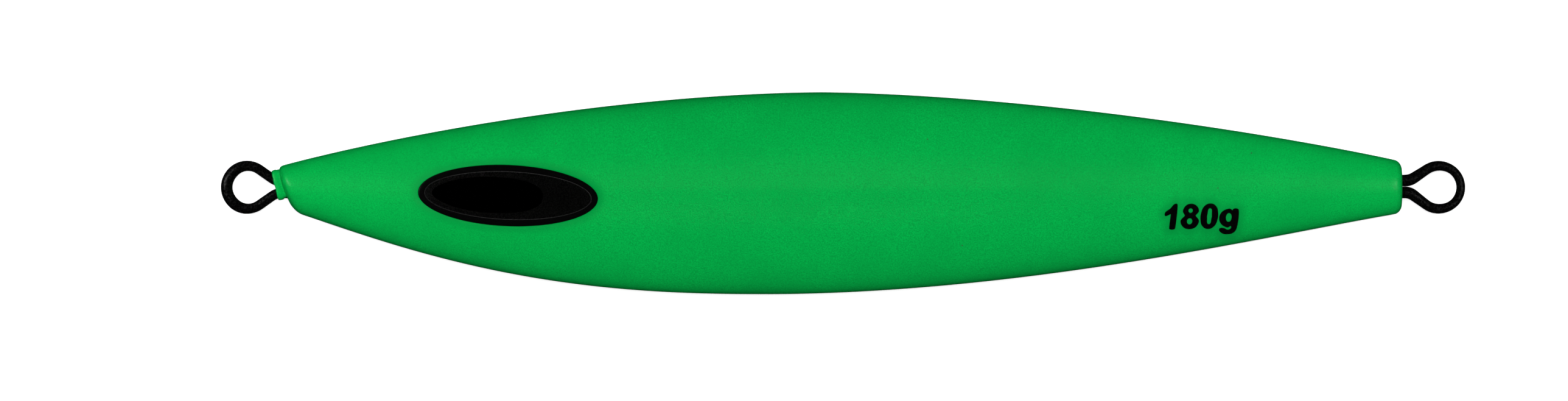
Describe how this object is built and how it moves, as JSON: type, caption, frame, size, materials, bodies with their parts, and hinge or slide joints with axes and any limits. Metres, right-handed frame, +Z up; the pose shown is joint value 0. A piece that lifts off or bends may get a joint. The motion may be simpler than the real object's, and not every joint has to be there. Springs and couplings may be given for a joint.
{
  "type": "fishing jig",
  "caption": "Slender cast-lead fishing jig with a luminous green coating, a domed oval eye on each side and a cast-in wire loop at nose and tail.",
  "frame": {"origin": "under the middle of the jig's overall length and width, on the surface it lies on", "axes": "+X from the nose to the tail, +Y towards the back edge, +Z up, out of the front side with the weight mark"},
  "size_m": [0.1572, 0.0254, 0.0099],
  "materials": {
    "lead": "dull grey cast lead",
    "coating": "smooth satin luminous green paint with a fine grain",
    "wire": "satin black",
    "eye_base": "gloss black",
    "eye_iris": "printed very dark grey",
    "eye_pupil": "printed black",
    "eye_dome": "clear gloss resin",
    "ink": "printed matt black"
  },
  "bodies": {
    "root": {"lead_core": "lead", "luminous_coat": "coating", "nose_collar": "coating", "nose_wire": "wire", "tail_wire": "wire", "eye_base_front": "eye_base", "eye_base_rear": "eye_base", "eye_iris_front": "eye_iris", "eye_iris_rear": "eye_iris", "eye_pupil_front": "eye_pupil", "eye_pupil_rear": "eye_pupil", "eye_dome_front": "eye_dome", "eye_dome_rear": "eye_dome", "weight_mark": "ink"}
  },
  "joints": []
}
